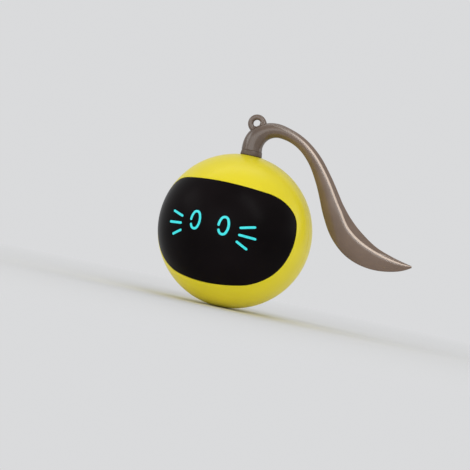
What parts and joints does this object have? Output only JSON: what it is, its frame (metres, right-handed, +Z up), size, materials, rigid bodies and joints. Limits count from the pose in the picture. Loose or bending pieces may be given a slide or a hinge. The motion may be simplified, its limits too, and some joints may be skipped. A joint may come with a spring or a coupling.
{
  "type": "self-rolling cat ball",
  "caption": "Self-rolling cat ball: round casing with a wrap-round face window and lit face, a soft swivelling tail, and a geared motor swinging weights inside.",
  "frame": {"origin": "point where the upright ball touches the floor, straight below its centre", "axes": "+Z up through the tail socket, -Y the way the face looks, +X towards the tail's tip side; the tail lies 10 degrees back from +X"},
  "size_m": [0.1056, 0.064, 0.0812],
  "materials": {
    "casing_yellow": "satin",
    "visor_black": "polished",
    "lit_cyan": "translucent",
    "tail_brown": "satin",
    "collar_brown": "satin",
    "black_plastic": "matte",
    "frame_white": "matte",
    "gear_white": "matte",
    "board_green": "matte",
    "chip_black": "matte",
    "lamp_white": "polished",
    "steel": "bright",
    "brass_bright": "bright",
    "bronze_bush": "matte",
    "weight_zinc": "as cast",
    "cell_foil": "matte",
    "foam_tape": "matte"
  },
  "bodies": {
    "ball": {"front_shell": "casing_yellow", "rear_shell": "casing_yellow", "visor_lens": "visor_black", "light_guide": "lit_cyan", "light_baffle": "black_plastic", "display_board": "board_green", "display_leds": "lamp_white", "display_screws": "steel", "main_frame": "frame_white", "gear_cover": "frame_white", "gear_cover_screws": "steel", "axle_bush_left": "bronze_bush", "axle_bush_right": "bronze_bush", "gear_pins": "steel", "motor_can": "steel", "motor_end_cap": "black_plastic", "motor_screws": "steel", "battery_cell": "cell_foil", "battery_pad": "foam_tape", "main_board": "board_green", "board_components": "chip_black", "main_board_screws": "steel", "usb_receptacle": "steel", "tact_switch": "black_plastic", "assembly_screws": "steel"},
    "drive": {"cross_axle": "steel", "output_gear": "gear_white", "counterweight_left": "weight_zinc", "counterweight_right": "weight_zinc", "counterweight_screws": "steel"},
    "second_stage": {"second_gear": "gear_white"},
    "first_stage": {"first_gear": "gear_white"},
    "motor_rotor": {"motor_shaft": "steel", "motor_pinion": "brass_bright"},
    "button": {"power_button": "casing_yellow", "switch_plunger": "black_plastic"},
    "swivel": {"tail_collar": "collar_brown"},
    "tail_piece": {"tail": "tail_brown"}
  },
  "joints": [
    {"name": "drive_spin", "type": "hinge", "parent": "ball", "child": "drive", "pos_m": [0, 0, 0.032], "axis": [1, 0, 0], "continuous": true},
    {"name": "second_gear_spin", "type": "hinge", "parent": "ball", "child": "second_stage", "pos_m": [0, -0.01128, 0.0361], "axis": [1, 0, 0], "continuous": true},
    {"name": "first_gear_spin", "type": "hinge", "parent": "ball", "child": "first_stage", "pos_m": [0, -0.00208, 0.04382], "axis": [1, 0, 0], "continuous": true},
    {"name": "motor_spin", "type": "hinge", "parent": "ball", "child": "motor_rotor", "pos_m": [0, 0.00916, 0.04143], "axis": [1, 0, 0], "continuous": true},
    {"name": "power_button_press", "type": "slide", "parent": "ball", "child": "button", "axis": [0, -1, 0], "range_m": [0, 0.0004], "stiffness_N_per_m": 2500},
    {"name": "tail_swivel", "type": "hinge", "parent": "ball", "child": "swivel", "pos_m": [0, 0, 0.0645], "axis": [0, 0, 1], "continuous": true},
    {"name": "tail_pull", "type": "slide", "parent": "swivel", "child": "tail_piece", "axis": [0, 0, 1], "range_m": [0, 0.008]}
  ],
  "couplings": [
    {"joint": "second_gear_spin", "follows": "drive_spin", "ratio": -3},
    {"joint": "first_gear_spin", "follows": "drive_spin", "ratio": 9},
    {"joint": "motor_spin", "follows": "drive_spin", "ratio": -32.4}
  ]
}
